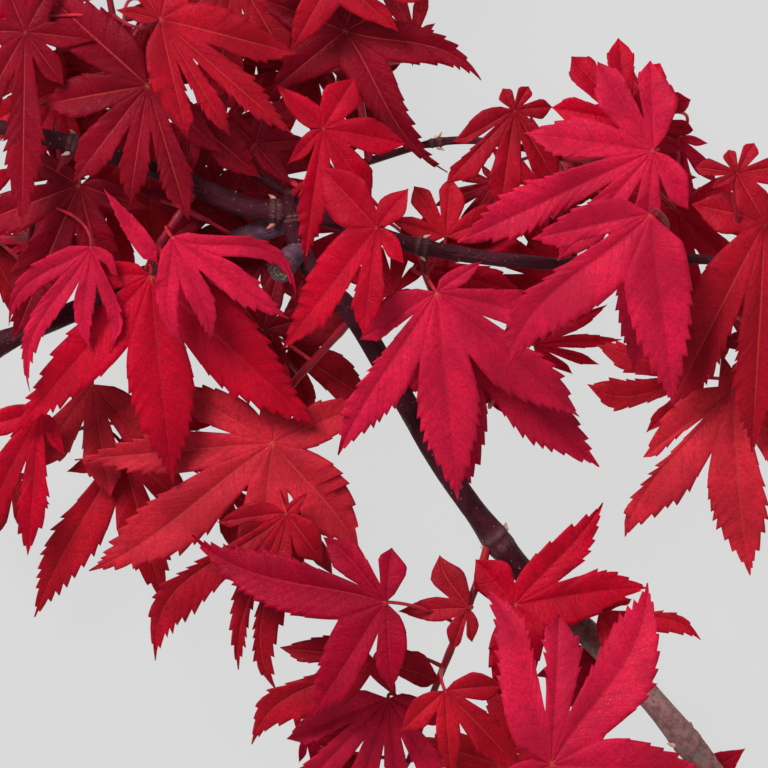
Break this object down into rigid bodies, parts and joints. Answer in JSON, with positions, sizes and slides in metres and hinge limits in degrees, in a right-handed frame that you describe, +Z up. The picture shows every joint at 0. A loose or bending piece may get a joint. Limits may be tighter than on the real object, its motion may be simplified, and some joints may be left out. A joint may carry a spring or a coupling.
{
  "type": "maple branch",
  "caption": "Cut branch of a red-leaved Japanese maple, lying flat: a forked woody stem with side limbs and layered sprays of palmate pointed leaves",
  "frame": {"origin": "centre of the overall box in plan, on the plane that the lowest leaf tips stand on", "axes": "+Z up through the thickness of the lying branch, +X to the right and +Y to the top of the branch as seen from above; the cut end of the main stem is at +X -Y"},
  "size_m": [0.2318, 0.2321, 0.0731],
  "materials": {
    "bark": "satin",
    "old_bark": "matte",
    "leaf": "satin"
  },
  "bodies": {
    "root": {"main_stem": "bark", "left_limb": "bark", "right_limb": "bark", "lower_left_limb": "old_bark", "upper_twig": "bark", "far_twig": "bark", "upper_left_leaves": "leaf", "left_leaves": "leaf", "left_tip_leaves": "leaf", "hanging_leaves": "leaf", "lower_left_leaves": "leaf", "lower_left_tip_leaves": "leaf", "lower_middle_leaves": "leaf", "fork_leaves": "leaf", "top_leaves": "leaf", "centre_leaves": "leaf", "upper_right_leaves": "leaf", "front_right_leaves": "leaf", "right_leaves": "leaf", "shoot_leaves": "leaf", "lower_right_leaves": "leaf"}
  },
  "joints": []
}
